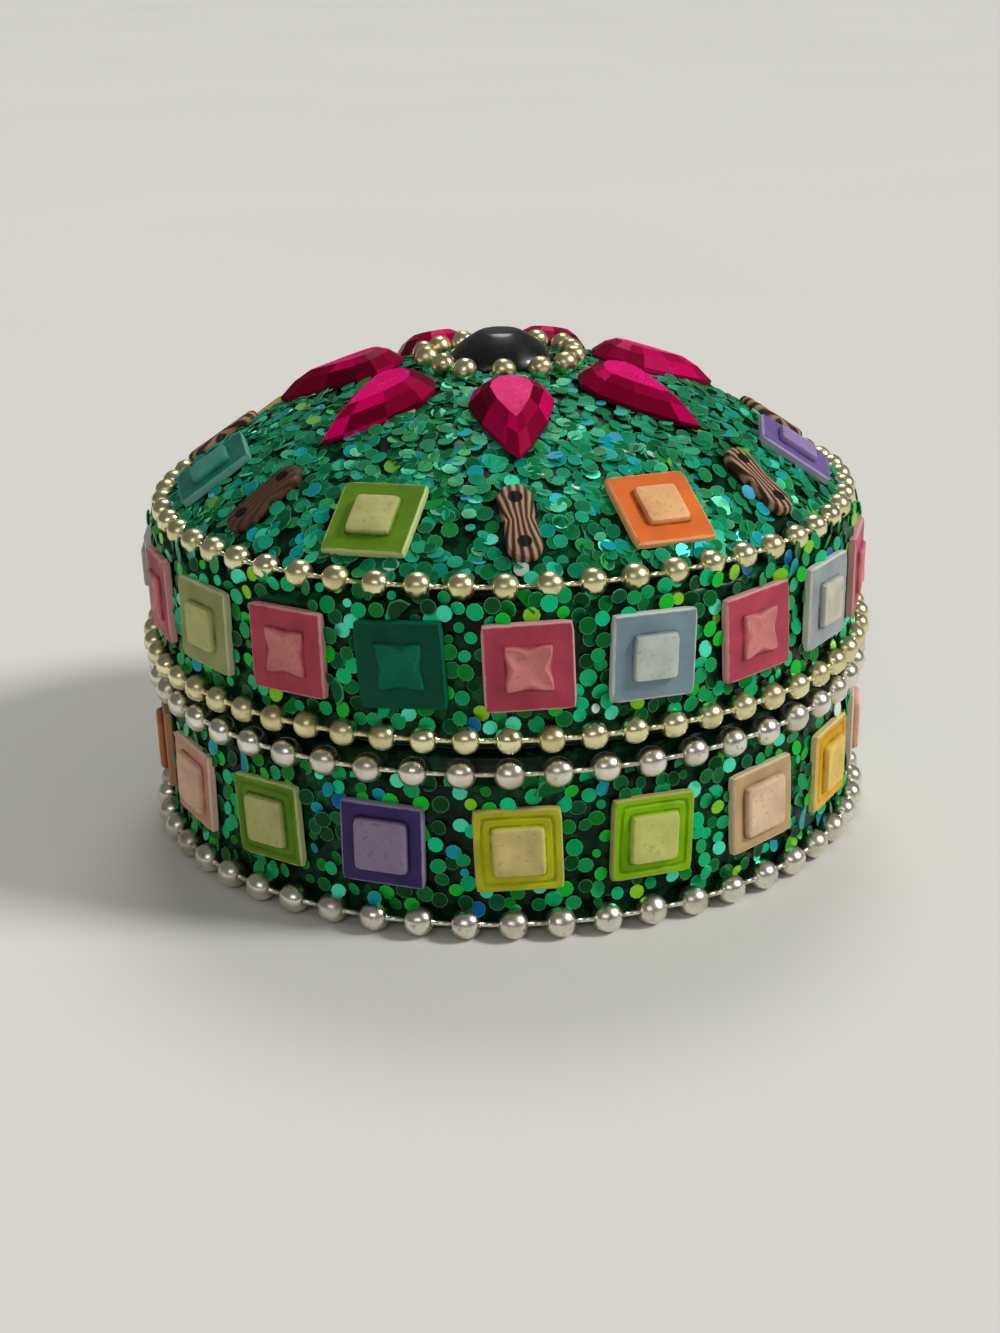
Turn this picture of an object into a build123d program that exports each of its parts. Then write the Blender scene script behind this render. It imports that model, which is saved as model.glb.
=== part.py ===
from build123d import *
from math import acos, asin, atan2, cos, degrees, pi, radians, sin, sqrt
import os

# A round trinket box: a pressed metal cup and lid coated with glittered lac, set with
# square mosaic tiles, teardrop stones and rows of ball chain. Millimetres, Z up, the
# underside at Z = 0. Angles start at the front, -Y, and grow towards +X.

os.makedirs("parts", exist_ok=True)

# Driving dimensions
COAT_RADIUS = 26.3
CUP_HEIGHT = 13.1
LID_WALL = 11.5
DOME_RISE = 8.75
COAT_THICK = 1.9
DOME_COAT = 1.5
COAT_FOOT = 0.3
SHEET = 0.5
NECK_SHEET = 0.4
NECK_STANDS = 4.9
SEAM = 0.6

# Clearances
FIT = 0.05
SEAT_GAP = 0.1
LIFT_CLEARANCE = 0.3

SILVER_BEAD = 1.0
GOLD_BEAD = 0.9
SILVER_PITCH = 3.25
GOLD_PITCH = 2.8
CROWN_PITCH = 2.5
LINK_WIDTH = 0.5
CHAIN_STANDS = 0.7
SHOULDER_INSET = 0.8

TILE = 6.0
TILE_PLATE = 0.6
TILE_RAISE = 0.5
STONE_WIDTH = 6.0
STONE_LENGTH = 10.0
STONE_HEIGHT = 1.7
PLAQUE_LENGTH = 6.4
PLAQUE_WIDTH = 3.0
PLAQUE_THICK = 0.8
CROWN_RADIUS = 4.0
CROWN_HEIGHT = 2.4

# Angles and counts round the box
PETALS = 7
BASE_TILE_START = 1.0
LID_TILE_START = 3.0
DOME_TILE_START = -23.0
STONE_START = 4.0

# The colours round the base and the lid, starting with the front tile and going right
BASE_COLOURS = ("olive", "green", "tan", "amber", "peach", "lime", "purple", "tan", "rust",
                "olive", "lime", "peach", "amber", "green", "rust", "peach", "lime", "purple")
LID_COLOURS = ("rose", "blue", "rose", "grey", "rose", "pale", "rose", "teal", "rose", "blue",
               "rose", "grey", "rose", "pale", "rose", "blue", "rose", "pale", "rose", "teal")
# Small turns in its own plane that hand setting gave each tile, in degrees
HAND_TURNS = (1.5, -2.0, 2.5, -1.0, 0.5, 3.0, -2.5)


def chain_sizes(ring, height, bead, pitch):
    """A chain's sizes, with as many balls, in fours, as its pitch fits round the ring."""
    beads = 4 * round(2 * pi * ring / pitch / 4)
    return dict(ring=ring, height=height, bead=bead, beads=beads)


# Worked out from the values above
CUP_RADIUS = COAT_RADIUS - COAT_THICK
NECK_HEIGHT = CUP_HEIGHT + NECK_STANDS
FOOT_CHAIN = chain_sizes(COAT_RADIUS + CHAIN_STANDS, SILVER_BEAD + SEAT_GAP, SILVER_BEAD,
                         SILVER_PITCH)
BASE_RIM_CHAIN = chain_sizes(COAT_RADIUS + CHAIN_STANDS - SHEET / 2, CUP_HEIGHT - SILVER_BEAD,
                             SILVER_BEAD, SILVER_PITCH)
LID_RIM_CHAIN = chain_sizes(COAT_RADIUS + CHAIN_STANDS, CUP_HEIGHT + SEAM + GOLD_BEAD, GOLD_BEAD,
                            GOLD_PITCH)
SHOULDER_CHAIN = chain_sizes(COAT_RADIUS - SHOULDER_INSET, CUP_HEIGHT + LID_WALL, GOLD_BEAD,
                             GOLD_PITCH)
LID_COAT_BOTTOM = CUP_HEIGHT + SEAM
BASE_TILE_HEIGHT = (FOOT_CHAIN["height"] + BASE_RIM_CHAIN["height"]) / 2
LID_TILE_HEIGHT = (LID_RIM_CHAIN["height"] + SHOULDER_CHAIN["height"]) / 2
DOME_EDGE = SHOULDER_CHAIN["ring"] - GOLD_BEAD - FIT
DOME_TOP = SHOULDER_CHAIN["height"] + 0.7 * GOLD_BEAD + DOME_RISE
DOME_BALL = (DOME_EDGE ** 2 + DOME_RISE ** 2) / (2 * DOME_RISE)
DOME_CENTRE = DOME_TOP - DOME_BALL
DOME_TILE_RING = DOME_EDGE - TILE / 2
CROWN_RING = CROWN_RADIUS + 0.7 + GOLD_BEAD
STONE_RING = CROWN_RING + GOLD_BEAD + STONE_LENGTH / 2 + SHEET
CROWN_BEADS = round(2 * pi * CROWN_RING / CROWN_PITCH)


def dome_height(radius, inset=0.0):
    """Height of the dome, or of a shell concentric with it, at a radius from the axis."""
    ball = DOME_BALL - inset
    return DOME_CENTRE + sqrt(ball * ball - radius * radius)


def dome_mid(radius, inset=0.0):
    """A point halfway along the dome's arc from the given radius to the axis."""
    ball = DOME_BALL - inset
    half = asin(radius / ball) / 2
    return (ball * sin(half), DOME_CENTRE + ball * cos(half))


def spin(profile):
    """Revolves a profile drawn as (radius, height) about Z."""
    return revolve(Plane.XZ * make_face(profile), axis=Axis.Z)


def wall_spot(angle, radius, height, turn=0.0):
    """A place on the side wall with Z facing outwards, its X along the wall."""
    a = radians(angle)
    plane = Plane(origin=(radius * sin(a), -radius * cos(a), height),
                  x_dir=(cos(a), sin(a), 0), z_dir=(sin(a), -cos(a), 0))
    return plane.location * Rot(0, 0, turn)


def dome_spot(angle, radius, lift=FIT, turn=0.0):
    """A place tangent to the dome, its X running down the slope, away from the axis."""
    a = radians(angle)
    tilt = asin(radius / DOME_BALL)
    reach = DOME_BALL + lift
    out = (sin(a), -cos(a))
    origin = (reach * sin(tilt) * out[0], reach * sin(tilt) * out[1],
              DOME_CENTRE + reach * cos(tilt))
    slope = (cos(tilt) * out[0], cos(tilt) * out[1], -sin(tilt))
    normal = (sin(tilt) * out[0], sin(tilt) * out[1], cos(tilt))
    return Plane(origin=origin, x_dir=slope, z_dir=normal).location * Rot(0, 0, turn)


def base_cup():
    inner = CUP_RADIUS - SHEET
    return spin(Polyline((0, 0), (CUP_RADIUS, 0), (CUP_RADIUS, CUP_HEIGHT), (inner, CUP_HEIGHT),
                         (inner, SHEET), (0, SHEET), close=True))


def neck_ring():
    """The collar that stands inside the cup and guides the lid."""
    outer = CUP_RADIUS - SHEET - FIT
    inner = outer - NECK_SHEET
    lead = NECK_SHEET / 2
    return spin(Polyline((inner, SHEET), (outer, SHEET), (outer, NECK_HEIGHT - lead),
                         (outer - lead, NECK_HEIGHT), (inner, NECK_HEIGHT), close=True))


def rebate(chain):
    """Inner radius, bottom and top of the step cut in the coat to seat a chain."""
    reach = chain["bead"] + FIT
    return chain["ring"] - reach, chain["height"] - reach, chain["height"] + reach


def base_lac_coat():
    inner = CUP_RADIUS + FIT
    foot_in, _, foot_top = rebate(FOOT_CHAIN)
    rim_in, rim_low, _ = rebate(BASE_RIM_CHAIN)
    top = CUP_HEIGHT - SEAT_GAP
    return spin(Polyline((inner, COAT_FOOT), (foot_in, COAT_FOOT), (foot_in, foot_top),
                         (COAT_RADIUS, foot_top), (COAT_RADIUS, rim_low), (rim_in, rim_low),
                         (rim_in, top), (inner, top), close=True))


def lid_shell():
    """The pressed lid: a skirt that slips over the collar, and a domed top."""
    inner = CUP_RADIUS - SHEET - FIT + LIFT_CLEARANCE
    outer = inner + SHEET
    under = DOME_COAT + SHEET
    bottom = CUP_HEIGHT + SEAT_GAP
    lines = Polyline((0, DOME_TOP - under), (0, DOME_TOP - DOME_COAT))
    lines += ThreePointArc((0, DOME_TOP - DOME_COAT), dome_mid(outer, DOME_COAT),
                           (outer, dome_height(outer, DOME_COAT)))
    lines += Polyline((outer, dome_height(outer, DOME_COAT)), (outer, bottom), (inner, bottom),
                      (inner, dome_height(inner, under)))
    lines += ThreePointArc((inner, dome_height(inner, under)), dome_mid(inner, under),
                           (0, DOME_TOP - under))
    return spin(lines)


def lid_lac_coat():
    inner = CUP_RADIUS - FIT + LIFT_CLEARANCE + FIT
    inset = DOME_COAT - FIT
    rim_in, _, rim_top = rebate(LID_RIM_CHAIN)
    ledge_in, ledge, _ = rebate(SHOULDER_CHAIN)
    seat = CROWN_RADIUS + 0.2
    lines = Polyline((inner, dome_height(inner, inset)), (inner, LID_COAT_BOTTOM),
                     (rim_in, LID_COAT_BOTTOM), (rim_in, rim_top), (COAT_RADIUS, rim_top),
                     (COAT_RADIUS, ledge), (ledge_in, ledge), (ledge_in, dome_height(ledge_in)))
    middle = (asin(ledge_in / DOME_BALL) + asin(seat / DOME_BALL)) / 2
    lines += ThreePointArc((ledge_in, dome_height(ledge_in)),
                           (DOME_BALL * sin(middle), DOME_CENTRE + DOME_BALL * cos(middle)),
                           (seat, dome_height(seat)))
    lines += Polyline((seat, dome_height(seat)), (0, dome_height(seat)), (0, DOME_TOP - inset))
    lines += ThreePointArc((0, DOME_TOP - inset), dome_mid(inner, inset),
                           (inner, dome_height(inner, inset)))
    return spin(lines)


def frustum(face, height, inset):
    """A prism on the face whose sides slope in by the inset over its height."""
    return extrude(face, height, taper=degrees(atan2(inset, height)))


def bead(radius):
    """One faceted ball of a chain, threaded along X, with flat ends where the link enters."""
    end = 0.5 * radius
    slope = cos(radians(30)) * (radius - end)
    half = frustum(RegularPolygon(radius, 6, rotation=30), 0.85 * radius, slope)
    return Rot(0, 90, 0) * (half + Rot(180, 0, 0) * half)


def ball_chain(beads, ring, height, bead_radius):
    """A closed ring of balls with a straight link between each two."""
    step = 360 / beads
    flat = 0.85 * bead_radius
    chord = 2 * ring * sin(radians(step / 2))
    link_length = chord - 2 * flat * cos(radians(step / 2)) - FIT
    link_ring = ring * cos(radians(step / 2))
    ball = bead(bead_radius)
    link = Box(link_length, LINK_WIDTH, LINK_WIDTH)
    solids = []
    for i in range(beads):
        solids.append(Rot(0, 0, i * step) * Pos(0, -ring, height) * ball)
        solids.append(Rot(0, 0, (i + 0.5) * step) * Pos(0, -link_ring, height) * link)
    return Compound(solids)


def chain(sizes):
    return ball_chain(sizes["beads"], sizes["ring"], sizes["height"], sizes["bead"])


def mosaic_tile():
    """A square tile with a raised, bevelled square on its face."""
    plate = Box(TILE, TILE, TILE_PLATE, align=(Align.CENTER, Align.CENTER, Align.MIN))
    raised = Plane.XY.offset(TILE_PLATE) * Rectangle(0.62 * TILE, 0.62 * TILE)
    return plate + frustum(raised, TILE_RAISE, 0.1 * TILE)


def wall_tiles(colours, start, height):
    """One group of tiles per colour, spaced evenly round the wall."""
    tile = mosaic_tile()
    groups = {}
    for i, colour in enumerate(colours):
        angle = start + i * 360 / len(colours)
        spot = wall_spot(angle, COAT_RADIUS + FIT, height, HAND_TURNS[i % len(HAND_TURNS)])
        groups.setdefault(colour, []).append(spot * tile)
    return {colour: Compound(tiles) for colour, tiles in groups.items()}


def teardrop_stone():
    """A flat-backed faceted teardrop: girdle, sloping facets and a flat table, point along +X."""
    round_radius = STONE_WIDTH / 2
    tip = STONE_LENGTH - round_radius
    middle = (tip - round_radius) / 2
    shoulder = degrees(acos(round_radius / tip)) + 6
    points = [(tip, 0), (0.55 * tip, 0.52 * round_radius)]
    for i in range(7):
        a = radians(shoulder + i * (360 - 2 * shoulder) / 6)
        points.append((round_radius * cos(a), round_radius * sin(a)))
    points.append((0.55 * tip, -0.52 * round_radius))
    outline = Pos(-middle, 0) * make_face(Polyline(*points, close=True))
    girdle = 0.25 * STONE_HEIGHT
    facets = frustum(Pos(0, 0, girdle) * outline, STONE_HEIGHT - girdle, 0.4 * round_radius)
    return extrude(outline, girdle) + facets


def plaque():
    """A peanut-shaped plate with a hole near each end, long side along X."""
    end = PLAQUE_WIDTH / 2
    centre = PLAQUE_LENGTH / 2 - end
    outline = Rectangle(2 * centre, 0.72 * PLAQUE_WIDTH)
    for side in (-1, 1):
        outline += Pos(side * centre, 0) * RegularPolygon(end, 8, rotation=22.5)
    for side in (-1, 1):
        outline -= Pos(side * (centre + 0.2), 0) * RegularPolygon(0.22 * end, 5)
    return extrude(outline, PLAQUE_THICK)


def crown_stone():
    """The domed black stone on the top, cut with a flat table."""
    seat = dome_height(CROWN_RADIUS + 0.2) + FIT
    stone = None
    bands = ((0.0, 0.25, 1.0, 0.98), (0.25, 0.68, 0.98, 0.78), (0.68, 1.0, 0.78, 0.38))
    for low, high, radius, end in bands:
        face = Pos(0, 0, seat + low * CROWN_HEIGHT) * RegularPolygon(radius * CROWN_RADIUS, 12)
        inset = (radius - end) * CROWN_RADIUS * cos(radians(15))
        band = frustum(face, (high - low) * CROWN_HEIGHT, inset)
        stone = band if stone is None else stone + band
    return stone


def crown_ball_ring():
    """Loose gold balls set round the crown stone."""
    ball = bead(GOLD_BEAD)
    height = dome_height(CROWN_RING) + GOLD_BEAD + FIT
    return Compound([Rot(0, 0, i * 360 / CROWN_BEADS) * Pos(0, -CROWN_RING, height) * ball
                     for i in range(CROWN_BEADS)])


def save(shape, name):
    export_step(shape, "parts/" + name + ".step")


save(base_cup(), "base_cup")
save(neck_ring(), "neck_ring")
save(base_lac_coat(), "base_lac_coat")
save(chain(FOOT_CHAIN), "base_foot_chain")
save(chain(BASE_RIM_CHAIN), "base_rim_chain")
save(lid_shell(), "lid_shell")
save(lid_lac_coat(), "lid_lac_coat")
save(chain(LID_RIM_CHAIN), "lid_rim_chain")
save(chain(SHOULDER_CHAIN), "lid_shoulder_chain")
save(crown_stone(), "crown_stone")
save(crown_ball_ring(), "crown_ball_ring")
for colour, tiles in wall_tiles(BASE_COLOURS, BASE_TILE_START, BASE_TILE_HEIGHT).items():
    save(tiles, "base_tiles_" + colour)
for colour, tiles in wall_tiles(LID_COLOURS, LID_TILE_START, LID_TILE_HEIGHT).items():
    save(tiles, "lid_tiles_" + colour)
for i in range(PETALS):
    turn = 360 * i / PETALS
    tile_spot = dome_spot(DOME_TILE_START + turn, DOME_TILE_RING, turn=2 * HAND_TURNS[i])
    save(tile_spot * mosaic_tile(), "dome_tile_" + str(i + 1))
    plaque_spot = dome_spot(DOME_TILE_START + turn + 180 / PETALS, DOME_TILE_RING,
                             turn=4 * HAND_TURNS[i])
    save(plaque_spot * plaque(), "dome_plaque_" + str(i + 1))
    save(dome_spot(STONE_START + turn, STONE_RING) * teardrop_stone(),
         "teardrop_stone_" + str(i + 1))
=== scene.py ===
from math import asin, cos, dist, pi, radians, sin, sqrt
import random

import bmesh
import bpy
from mathutils import Matrix, Vector

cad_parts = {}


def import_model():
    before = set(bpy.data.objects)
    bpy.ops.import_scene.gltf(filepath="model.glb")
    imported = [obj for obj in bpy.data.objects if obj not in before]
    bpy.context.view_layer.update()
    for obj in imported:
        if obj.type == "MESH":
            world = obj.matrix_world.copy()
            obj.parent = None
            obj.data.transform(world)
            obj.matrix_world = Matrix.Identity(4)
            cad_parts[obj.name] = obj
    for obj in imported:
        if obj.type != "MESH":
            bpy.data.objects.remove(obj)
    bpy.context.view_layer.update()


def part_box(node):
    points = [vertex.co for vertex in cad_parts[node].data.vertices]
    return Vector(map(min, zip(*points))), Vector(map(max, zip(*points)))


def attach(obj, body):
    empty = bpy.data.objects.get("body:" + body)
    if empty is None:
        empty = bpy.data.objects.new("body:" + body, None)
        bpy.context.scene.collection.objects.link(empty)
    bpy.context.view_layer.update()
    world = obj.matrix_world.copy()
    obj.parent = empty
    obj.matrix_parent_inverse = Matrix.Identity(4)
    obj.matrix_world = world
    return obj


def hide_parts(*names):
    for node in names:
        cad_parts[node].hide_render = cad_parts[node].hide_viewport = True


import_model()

MM = 0.001


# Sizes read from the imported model, in millimetres

def node_box(node):
    low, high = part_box(node)
    return [v / MM for v in low], [v / MM for v in high]


def chain_sizes(node, beads, bead):
    """Ring radius and height of a ball chain, from its node's box."""
    low, high = node_box(node)
    return dict(node=node, beads=beads, bead=bead, ring=high[0] - bead,
                height=(low[2] + high[2]) / 2)


SILVER_BEAD = 1.0
GOLD_BEAD = 0.9
SWELL = 1.07
FOOT = chain_sizes("base_foot_chain", 52, SILVER_BEAD)
BASE_RIM = chain_sizes("base_rim_chain", 52, SILVER_BEAD)
LID_RIM = chain_sizes("lid_rim_chain", 60, GOLD_BEAD)
SHOULDER = chain_sizes("lid_shoulder_chain", 56, GOLD_BEAD)

CUP_RADIUS = node_box("base_cup")[1][0]
CUP_HEIGHT = node_box("base_cup")[1][2]
NECK_RADIUS = node_box("neck_ring")[1][0]
NECK_HEIGHT = node_box("neck_ring")[1][2]
SHELL_RADIUS = node_box("lid_shell")[1][0]
SHELL_BOTTOM = node_box("lid_shell")[0][2]
SHELL_TOP = node_box("lid_shell")[1][2]
COAT_RADIUS = node_box("base_lac_coat")[1][0]
COAT_FOOT = node_box("base_lac_coat")[0][2]
COAT_TOP = node_box("base_lac_coat")[1][2]
LID_COAT_BOTTOM = node_box("lid_lac_coat")[0][2]
CROWN_BASE = node_box("crown_stone")[0][2]
CROWN_TOP = node_box("crown_stone")[1][2]
CROWN_RADIUS = node_box("crown_stone")[1][0]

# The same driving dimensions as the CAD source
SHEET = 0.5
NECK_SHEET = 0.4
FIT = 0.05
DOME_RISE = 8.75
DOME_EDGE = SHOULDER["ring"] - GOLD_BEAD - FIT
DOME_TOP = SHOULDER["height"] + 0.7 * GOLD_BEAD + DOME_RISE
DOME_BALL = (DOME_EDGE ** 2 + DOME_RISE ** 2) / (2 * DOME_RISE)
DOME_CENTRE = DOME_TOP - DOME_BALL
DOME_COAT = DOME_TOP - SHELL_TOP
TILE = 6.0
TILE_PLATE = 0.6
TILE_RAISE = 0.5
BASE_TILE_HEIGHT = (FOOT["height"] + BASE_RIM["height"]) / 2
LID_TILE_HEIGHT = (LID_RIM["height"] + SHOULDER["height"]) / 2
BASE_TILE_START = 1.0
LID_TILE_START = 3.0
DOME_TILE_RING = DOME_EDGE - TILE / 2
DOME_TILE_START = -23.0
PETALS = 7
STONE_WIDTH = 6.0
STONE_LENGTH = 10.0
STONE_HEIGHT = 1.7
STONE_START = 4.0
PLAQUE_LENGTH = 6.4
PLAQUE_WIDTH = 3.0
PLAQUE_THICK = 0.8
CROWN_BEADS = 14
CROWN_RING = CROWN_RADIUS + 0.7 + GOLD_BEAD
STONE_RING = CROWN_RING + GOLD_BEAD + STONE_LENGTH / 2 + SHEET
BASE_COLOURS = ("olive", "green", "tan", "amber", "peach", "lime", "purple", "tan", "rust",
                "olive", "lime", "peach", "amber", "green", "rust", "peach", "lime", "purple")
LID_COLOURS = ("rose", "blue", "rose", "grey", "rose", "pale", "rose", "teal", "rose", "blue",
               "rose", "grey", "rose", "pale", "rose", "blue", "rose", "pale", "rose", "teal")
DOME_COLOURS = ("lime", "orange", "purple", "blue", "rose", "amber", "aqua")
HAND_TURNS = (1.5, -2.0, 2.5, -1.0, 0.5, 3.0, -2.5)
DARK_PLAQUES = (3, 6)

# The camera, fitted to the bead rows in the photograph
PHOTO_HEIGHT = 1333
FOCAL_PX = 2000.0
CAMERA_ELEVATION = 23.1
CAMERA_ROLL = 1.32
CAMERA_DISTANCE = 160.8
CAMERA_SHIFT_PX = (9.6, -102.4)
AIM_HEIGHT = 1.1


# Mesh helpers

def make_object(name, verts, faces, smooth=True):
    mesh = bpy.data.meshes.new(name)
    mesh.from_pydata([(x * MM, y * MM, z * MM) for x, y, z in verts], [], faces)
    mesh.validate()
    for poly in mesh.polygons:
        poly.use_smooth = smooth
    obj = bpy.data.objects.new(name, mesh)
    bpy.context.collection.objects.link(obj)
    return obj


def skin(loops, ring=False):
    """Vertices and faces of a closed tube through equal loops; capped, or joined as a ring."""
    count = len(loops[0])
    verts = [p for loop in loops for p in loop]
    faces = []
    rows = len(loops) if ring else len(loops) - 1
    for i in range(rows):
        a, b = i * count, ((i + 1) % len(loops)) * count
        for j in range(count):
            k = (j + 1) % count
            faces.append((a + j, a + k, b + k, b + j))
    if not ring:
        faces.append(tuple(range(count))[::-1])
        last = (len(loops) - 1) * count
        faces.append(tuple(range(last, last + count)))
    return verts, faces


def circle(radius, height, segments):
    return [(radius * cos(2 * pi * i / segments), radius * sin(2 * pi * i / segments), height)
            for i in range(segments)]


def lathe(name, profile, segments=160, ring=True):
    """Revolves a profile of (radius, height) about Z, going anticlockwise in the R-Z plane."""
    verts, faces = skin([circle(r, z, segments) for r, z in profile], ring)
    return make_object(name, verts, faces)


def arc(centre, radius, start, end, steps):
    """Points (r, z) on an arc, angles in degrees."""
    angles = [radians(start + (end - start) * i / steps) for i in range(steps + 1)]
    return [(centre[0] + radius * cos(a), centre[1] + radius * sin(a)) for a in angles]


class Pile:
    """Collects many small shapes into one mesh."""

    def __init__(self):
        self.verts, self.faces, self.local, self.raised = [], [], [], []

    def add(self, verts, faces, matrix, raised=None, unit=1.0):
        start = len(self.verts)
        self.verts += [tuple(matrix @ Vector(v)) for v in verts]
        self.faces += [tuple(start + i for i in face) for face in faces]
        self.local += [(v[0] / unit, v[1] / unit) for v in verts]
        self.raised += raised if raised else [0.0] * len(verts)

    def build(self, name, smooth=True, uv_scale=1.0):
        obj = make_object(name, self.verts, self.faces, smooth)
        layer = obj.data.uv_layers.new(name="local")
        for loop in obj.data.loops:
            u, v = self.local[loop.vertex_index]
            layer.data[loop.index].uv = (u * uv_scale, v * uv_scale)
        raised = obj.data.attributes.new("raised", "FLOAT", "POINT")
        raised.data.foreach_set("value", self.raised)
        return obj


def soften(obj, angle=35):
    """Keeps the edges sharper than the angle crisp under smooth shading."""
    mesh = bmesh.new()
    mesh.from_mesh(obj.data)
    for edge in mesh.edges:
        if len(edge.link_faces) == 2 and edge.calc_face_angle(0) > radians(angle):
            edge.smooth = False
    mesh.to_mesh(obj.data)
    mesh.free()


# Places

def wall_place(angle, radius, height, turn=0.0):
    """A frame on the side wall: X along the wall, Y up, Z out."""
    a = radians(angle)
    columns = ((cos(a), sin(a), 0), (0, 0, 1), (sin(a), -cos(a), 0))
    matrix = Matrix.Translation((radius * sin(a), -radius * cos(a), height))
    return matrix @ Matrix(columns).transposed().to_4x4() @ Matrix.Rotation(radians(turn), 4, "Z")


def dome_place(angle, radius, lift=FIT, turn=0.0):
    """A frame on the dome: X down the slope, Z along the normal."""
    a = radians(angle)
    tilt = asin(radius / DOME_BALL)
    reach = DOME_BALL + lift
    x_axis = Vector((cos(tilt) * sin(a), -cos(tilt) * cos(a), -sin(tilt)))
    z_axis = Vector((sin(tilt) * sin(a), -sin(tilt) * cos(a), cos(tilt)))
    y_axis = z_axis.cross(x_axis)
    origin = z_axis * reach + Vector((0, 0, DOME_CENTRE))
    axes = Matrix((x_axis, y_axis, z_axis)).transposed().to_4x4()
    return Matrix.Translation(origin) @ axes @ Matrix.Rotation(radians(turn), 4, "Z")


def dome_height(radius, inset=0.0):
    return DOME_CENTRE + sqrt((DOME_BALL - inset) ** 2 - radius ** 2)


# Material helpers

class Shader:
    """A principled material with a few shorthands for its nodes."""

    def __init__(self, name):
        self.material = bpy.data.materials.new(name)
        self.material.use_nodes = True
        self.nodes = self.material.node_tree.nodes
        self.links = self.material.node_tree.links
        self.main = self.nodes["Principled BSDF"]

    def node(self, kind, **values):
        node = self.nodes.new(kind)
        for key, value in values.items():
            if key in node.inputs:
                node.inputs[key].default_value = value
            else:
                setattr(node, key, value)
        return node

    def link(self, source, target):
        self.links.new(source, target)

    def set(self, **values):
        for key, value in values.items():
            self.main.inputs[key.replace("_", " ")].default_value = value

    def noise(self, scale, detail=3.0, coords=None, roughness=0.5):
        node = self.node("ShaderNodeTexNoise", Scale=scale, Detail=detail, Roughness=roughness)
        self.link(coords or self.object_coords(), node.inputs["Vector"])
        return node.outputs["Fac"]

    def object_coords(self):
        return self.node("ShaderNodeTexCoord").outputs["Object"]

    def local(self):
        return self.node("ShaderNodeUVMap", uv_map="local").outputs["UV"]

    def ramp(self, source, stops, interpolation="LINEAR"):
        node = self.node("ShaderNodeValToRGB")
        node.color_ramp.interpolation = interpolation
        elements = node.color_ramp.elements
        while len(elements) < len(stops):
            elements.new(0.5)
        for element, (place, colour) in zip(elements, stops):
            element.position = place
            element.color = tuple(colour) + (1.0,) if len(colour) == 3 else colour
        self.link(source, node.inputs["Fac"])
        return node.outputs["Color"]

    def range(self, source, low, high, new_low=0.0, new_high=1.0):
        node = self.node("ShaderNodeMapRange")
        node.inputs["From Min"].default_value = low
        node.inputs["From Max"].default_value = high
        node.inputs["To Min"].default_value = new_low
        node.inputs["To Max"].default_value = new_high
        self.link(source, node.inputs["Value"])
        return node.outputs["Result"]

    def math(self, kind, a, b=0.0):
        node = self.node("ShaderNodeMath", operation=kind)
        for i, value in enumerate((a, b)):
            if isinstance(value, (int, float)):
                node.inputs[i].default_value = value
            else:
                self.link(value, node.inputs[i])
        return node.outputs["Value"]

    def mix(self, factor, a, b, blend="MIX"):
        node = self.node("ShaderNodeMix", data_type="RGBA", blend_type=blend)
        for socket, value in ((node.inputs[0], factor), (node.inputs[6], a), (node.inputs[7], b)):
            if isinstance(value, tuple):
                socket.default_value = value + (1.0,) if len(value) == 3 else value
            elif isinstance(value, (int, float)):
                socket.default_value = value
            else:
                self.link(value, socket)
        return node.outputs[2]

    def bump(self, height, strength, distance):
        node = self.node("ShaderNodeBump")
        node.inputs["Strength"].default_value = strength
        node.inputs["Distance"].default_value = distance
        self.link(height, node.inputs["Height"])
        self.link(node.outputs["Normal"], self.main.inputs["Normal"])

    def colour(self, source):
        self.link(source, self.main.inputs["Base Color"])

    def roughness(self, source):
        self.link(source, self.main.inputs["Roughness"])


def linear(red, green, blue):
    """Linear colour from 0-255 screen values."""
    return tuple((v / 255 / 12.92) if v / 255 <= 0.04045 else ((v / 255 + 0.055) / 1.055) ** 2.4
                 for v in (red, green, blue))


# Materials

def metal_sheet():
    s = Shader("pressed aluminium")
    s.set(Metallic=1.0)
    grain = s.noise(900, 4)
    smear = s.noise(90, 3)
    s.colour(s.mix(smear, linear(196, 196, 192), linear(168, 168, 164)))
    s.roughness(s.range(grain, 0.3, 0.7, 0.22, 0.4))
    s.bump(grain, 0.06, 0.0001)
    return s.material


def plated(name, bright, dull, tarnish):
    s = Shader(name)
    s.set(Metallic=1.0)
    wear = s.noise(420, 4)
    spots = s.noise(1900, 2)
    tone = s.mix(s.range(wear, 0.42, 0.7), bright, dull)
    s.colour(s.mix(s.range(spots, 0.62, 0.74, 0.0, 0.55), tone, tarnish))
    s.roughness(s.range(wear, 0.3, 0.75, 0.22, 0.4))
    s.bump(s.noise(1100, 3), 0.35, 0.0001)
    return s.material


def lac():
    s = Shader("lac")
    s.set(Roughness=0.3, Coat_Weight=0.05, Coat_Roughness=0.2, Specular_IOR_Level=0.1)
    cells = s.node("ShaderNodeTexVoronoi", Scale=1500.0)
    s.link(s.object_coords(), cells.inputs["Vector"])
    dust = s.ramp(cells.outputs["Color"], [(0.0, linear(0, 22, 8)), (0.45, linear(0, 44, 20)),
                                           (0.62, linear(0, 84, 42)), (0.8, linear(0, 40, 26)),
                                           (1.0, linear(0, 112, 60))])
    cloud = s.noise(160, 3)
    s.colour(s.mix(s.range(cloud, 0.4, 0.65), dust, linear(0, 18, 6)))
    s.bump(s.noise(700, 3), 0.3, 0.0002)
    return s.material


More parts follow.
